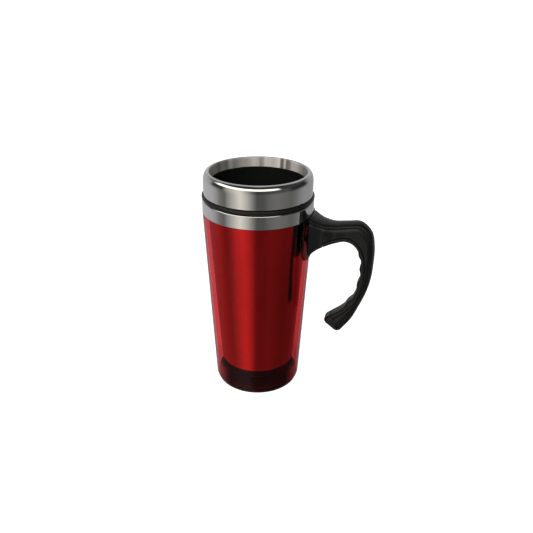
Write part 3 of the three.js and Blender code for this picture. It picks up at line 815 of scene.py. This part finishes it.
def grip_section(depth, half, s):
    """The soft grip's section: it fills the recess and swells over the palm side."""
    bump = finger_ridge(s)
    across = lerp(2.6, TIP_CORNER, near_tip(s))
    down = lerp(1.5, 2.2, near_tip(s))
    face = half - 0.2 - draft_at(s)
    top = depth - GRIP_T + 0.05
    side = [(top, 0), (top, face - 0.9), (top + 0.08, face - 0.35), (top + 0.4, face - 0.05)]
    side += [(top + 0.9, face), (depth - down, face)]
    side += [(depth - down + (down + bump) * math.sin(a), face - across + across * math.cos(a))
             for a in quarter(7)[1:]]
    side += [(depth + bump + 0.05, (face - across) * 0.5), (depth + bump + 0.1, 0)]
    return mirrored(side)


def handle_grip():
    """The soft strip with finger ridges, let into the handle."""
    rings = []
    for s in np.linspace(GRIP_START + 0.04, GRIP_END - 0.04, 132):
        cut = cut_at(s)
        rings.append(place_ring(cut, grip_section(depth_of(cut), cut[2], s)))
    return skin("grip", rings, GRIP_BLACK, "handle_grip")


def screws():
    """The screws keep their CAD shape."""
    for node in ("handle_screw_upper", "handle_screw_lower"):
        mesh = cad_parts[node].data
        mesh.materials.clear()
        mesh.materials.append(SCREW_ZINC)


# ---------------------------------------------------------------- studio

FLOOR_SIZE = 3.0                # radius, in metres
FLOOR_SIDES = 64
FLOOR_DROP = 0.0002             # keeps the floor clear of the mug's foot


def floor():
    """A wide pale floor that the steel doesn't mirror. Through the clear wall its +X side is shaded."""
    made, n = material("pale_floor")
    speckle = n.between(n.noise(30, 4), 0.3, 0.7, 0.97, 1.0)
    paint = n.add("ShaderNodeBsdfDiffuse", {"Color": grey(0.5)}).outputs["BSDF"]
    through_wall = n.between(n.light_path("Transparent Depth"), 0, 1)
    across = n.between(n.axes(n.place())["X"], -0.05, 0.05, 0.0, 0.5)
    shade = n.maths("SUBTRACT", 1.0, n.maths("MULTIPLY", through_wall, across))
    strength = n.maths("MULTIPLY", speckle, shade)
    glow = n.add("ShaderNodeEmission", {"Color": grey(1), "Strength": strength}).outputs["Emission"]
    n.finish(n.add("ShaderNodeAddShader", {0: paint, 1: glow}).outputs[0])
    mesh = bpy.data.meshes.new("floor")
    angles = [math.tau * k / FLOOR_SIDES for k in range(FLOOR_SIDES)]
    rim = [(FLOOR_SIZE * math.cos(a), FLOOR_SIZE * math.sin(a), 0) for a in angles]
    mesh.from_pydata(rim, [], [list(range(FLOOR_SIDES))])
    mesh.materials.append(made)
    ground = bpy.data.objects.new("floor", mesh)
    ground.location.z = -FLOOR_DROP
    ground.visible_glossy = False
    bpy.context.scene.collection.objects.link(ground)


# The studio round the mug, as seen in its steel: bright and dark stretches by azimuth from the camera
# (degrees, positive to the camera's right), for a few heights above and below the horizon.
TABLE = [(-180, 0.55), (-140, 0.44), (-118, 0.40), (-99, 0.33), (-81, 0.23), (-64, 0.38), (-48, 0.56),
         (-32, 0.62), (-18, 0.44), (-4, 0.18), (16, 0.16), (32, 0.18), (48, 0.15), (81, 0.11),
         (118, 0.18), (140, 0.24), (180, 0.50)]
LOW = [(-180, 0.55), (-110, 0.54), (-96, 0.43), (-84, 0.23), (-72, 0.17), (-60, 0.45), (-48, 0.70),
       (-36, 1.0), (-24, 0.72), (-12, 0.34), (-2, 0.11), (12, 0.11), (24, 0.18), (40, 0.21), (72, 0.155),
       (84, 0.20), (96, 0.30), (108, 0.36), (144, 0.355), (180, 0.50)]
MIDDLE = [(-180, 0.60), (-116, 0.45), (-104, 0.06), (-76, 0.05), (-66, 0.50), (-36, 1.0), (-24, 0.6),
          (-12, 0.20), (-2, 0.05), (24, 0.08), (60, 0.10), (76, 0.03), (112, 0.03), (126, 0.35),
          (180, 0.60)]
STRIP = [(-180, 0.60), (-150, 0.40), (-112, 0.10), (-100, 1.4), (-90, 2.6), (30, 2.6), (44, 1.6),
         (52, 0.06), (120, 0.05), (150, 0.40), (180, 0.60)]
ZENITH = [(-180, 0.60), (-140, 0.40), (-110, 0.04), (110, 0.04), (140, 0.40), (180, 0.60)]
# each layer with the elevations, in degrees, over which it takes the place of the one below
LAYERS = [(LOW, (-33, -22)), (MIDDLE, (-12, 6)), (STRIP, (18, 24)), (ZENITH, (37, 43))]


def studio_colour(degrees, value):
    """Bright stretches in front of the mug are a little warm, and what is behind it a little cool."""
    warm = max(0.0, min(1.0, (value - 0.3) * 2)) * (abs(degrees) < 100)
    cool = 0.04 * (abs(degrees) > 90)
    return value, value * (1 - 0.04 * warm), value * (1 - 0.13 * warm + cool), 1


def studio_world():
    """The studio lights the mug and shows in its steel, and the camera sees plain white behind it."""
    world = bpy.data.worlds.new("studio")
    bpy.context.scene.world = world
    world.use_nodes = True
    n = Nodes(world.node_tree)
    axes = n.axes_from_camera(n.add("ShaderNodeTexCoord").outputs["Generated"])
    azimuth = n.maths("ARCTAN2", axes["X"], n.maths("MULTIPLY", axes["Y"], -1.0))
    elevation = n.maths("DEGREES", n.maths("ARCSINE", axes["Z"]))
    light = n.round_ramp(azimuth, TABLE, studio_colour)
    for stops, fade in LAYERS:
        above = n.between(elevation, *fade, smooth=True)
        light = n.blend(above, light, n.round_ramp(azimuth, stops, studio_colour))
    shown = n.blend(n.light_path("Is Camera Ray"), light, grey(1))
    background = n.add("ShaderNodeBackground", {"Color": shown, "Strength": 1.0})
    n.add("ShaderNodeOutputWorld", {"Surface": background.outputs[0]})


def outward(azimuth, elevation):
    """Unit vector from the mug; both angles in radians, azimuth from -Y towards +X."""
    level = math.cos(elevation)
    return Vector((math.sin(azimuth) * level, -math.cos(azimuth) * level, math.sin(elevation)))


def facing_back(out, roll=0.0):
    """Turns a light or camera, which looks along its own -Z, to look against out."""
    return out.to_track_quat("Z", "Y").to_matrix().to_4x4() @ Matrix.Rotation(roll, 4, "Z")


MUG_MIDDLE = Vector((0, 0, 0.09))
LIGHT_DISTANCE = 1.2


def soft_light(name, azimuth, elevation, size, watts):
    """A large area light aimed at the middle of the mug; it leaves no mark in the steel."""
    data = bpy.data.lights.new(name, "AREA")
    data.shape = "DISK"
    data.size = size
    data.energy = watts
    lamp = bpy.data.objects.new(name, data)
    out = outward(math.radians(azimuth), math.radians(elevation))
    lamp.matrix_world = Matrix.Translation(MUG_MIDDLE + out * LIGHT_DISTANCE) @ facing_back(out)
    lamp.visible_glossy = False
    lamp.visible_camera = False
    bpy.context.scene.collection.objects.link(lamp)


# the camera recovered from the photo's ellipses and wall lines, for a square frame
CAMERA_PLACE = (0.1090, -0.4088, 0.3067)
CAMERA_PITCH = math.radians(26.02)
CAMERA_ROLL = math.radians(0.63)
CAMERA_SENSOR = 36
CAMERA_LENS = 39.55


def camera():
    data = bpy.data.cameras.new("camera")
    data.sensor_width = CAMERA_SENSOR
    data.lens = CAMERA_LENS
    data.clip_start = 0.01
    eye = bpy.data.objects.new("camera", data)
    turn = facing_back(outward(VIEW_AZIMUTH, CAMERA_PITCH), CAMERA_ROLL)
    eye.matrix_world = Matrix.Translation(CAMERA_PLACE) @ turn
    bpy.context.scene.collection.objects.link(eye)
    bpy.context.scene.camera = eye


# ---------------------------------------------------------------- build

upper_rim()
collar()
trim_band()
shell()
sleeve()
liner()
base()
handle_body()
handle_grip()
screws()
floor()
studio_world()
soft_light("key", azimuth=-35, elevation=55, size=0.8, watts=5)
soft_light("fill", azimuth=60, elevation=40, size=0.8, watts=2)
camera()
bpy.context.scene.view_settings.view_transform = "Standard"
bpy.context.scene.cycles.transparent_max_bounces = 24
bpy.context.scene.cycles.use_denoising = True
